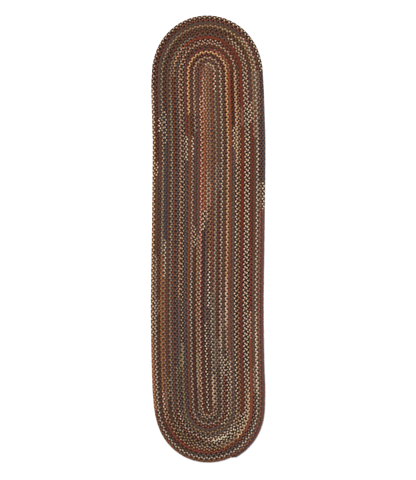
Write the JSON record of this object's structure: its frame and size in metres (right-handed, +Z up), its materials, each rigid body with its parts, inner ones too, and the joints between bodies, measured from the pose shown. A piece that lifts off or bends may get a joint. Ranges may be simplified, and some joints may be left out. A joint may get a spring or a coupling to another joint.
{
  "type": "braided rug",
  "caption": "Long oval runner rug of one multicoloured three-strand braid, wound in a spiral and laced edge to edge, lying flat.",
  "frame": {"origin": "middle of the rug's outline, on the surface that it lies on", "axes": "+Y along the rug's length, away from the end where the braid's tail is laced down; +X to the right seen from above; +Z up through the pile of braids"},
  "size_m": [0.6174, 2.419, 0.011],
  "materials": {
    "braided_yarn": "matt, soft knitted yarn tubes in brown, rust, navy, gold, sage and cream"
  },
  "bodies": {
    "root": {"braided_rug": "braided_yarn"}
  },
  "joints": []
}
